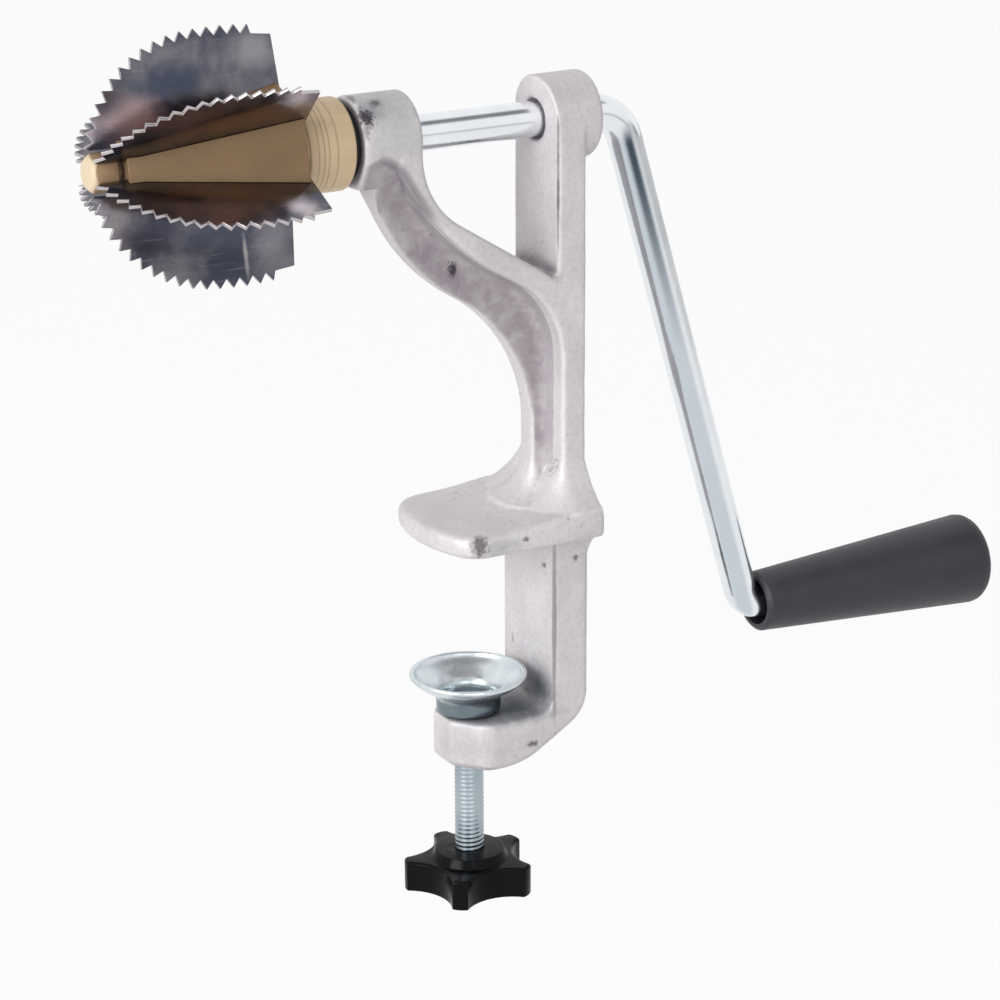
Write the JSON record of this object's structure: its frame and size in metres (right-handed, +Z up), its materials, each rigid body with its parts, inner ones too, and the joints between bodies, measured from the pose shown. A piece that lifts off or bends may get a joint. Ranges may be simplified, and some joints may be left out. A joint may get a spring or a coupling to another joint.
{
  "type": "hand crank coconut grater",
  "caption": "Hand-cranked grater with serrated rotary blades on a hub, an S-shaped cast frame with a table clamp, a bent crank and a tapered free-turning grip.",
  "frame": {"origin": "on the clamp screw axis, at the underside of the jaw, which rests on the table top", "axes": "+X along the crank shaft from the blades to the crank, +Y across the jaw, +Z up"},
  "size_m": [0.2695, 0.0606, 0.2415],
  "materials": {
    "casting": "satin sand-cast, lightly pitted",
    "rod": "bright plated round bar",
    "blade": "polished stainless sheet",
    "hub": "satin tan moulding",
    "nose": "satin tan moulding, darkened by use",
    "washer": "blackened",
    "grip": "satin charcoal",
    "steel_clip": "plain",
    "zinc": "bright zinc plated",
    "knob": "gloss black moulding"
  },
  "bodies": {
    "frame": {"frame_casting": "casting"},
    "crank": {"crank_rod": "rod", "blade_hub": "hub", "hub_collar": "hub", "nose_cap": "nose", "thrust_washer": "washer", "grip_push_nut": "steel_clip", "blade_1": "blade", "blade_2": "blade", "blade_3": "blade", "blade_4": "blade", "blade_5": "blade", "blade_6": "blade"},
    "grip": {"grip": "grip", "grip_end_cap": "grip"},
    "cup": {"clamp_dish": "zinc"},
    "screw": {"clamp_screw": "zinc", "knob": "knob", "knob_nut": "steel_clip"}
  },
  "joints": [
    {"name": "crank_turn", "type": "hinge", "parent": "frame", "child": "crank", "pos_m": [0, 0, 0.109], "axis": [1, 0, 0], "continuous": true},
    {"name": "grip_spin", "type": "hinge", "parent": "crank", "child": "grip", "pos_m": [0.12729, 0, -0.0362], "axis": [1, 0, 0], "continuous": true},
    {"name": "cup_rise", "type": "slide", "parent": "frame", "child": "cup", "axis": [0, 0, 1], "range_m": [0, 0.0264]},
    {"name": "screw_turn", "type": "hinge", "parent": "cup", "child": "screw", "pos_m": [0, 0, -0.0635], "axis": [0, 0, 1], "range_deg": [0, 7604]}
  ],
  "couplings": [
    {"joint": "screw_turn", "follows": "cup_rise", "rad_per_m": 5026.5}
  ]
}
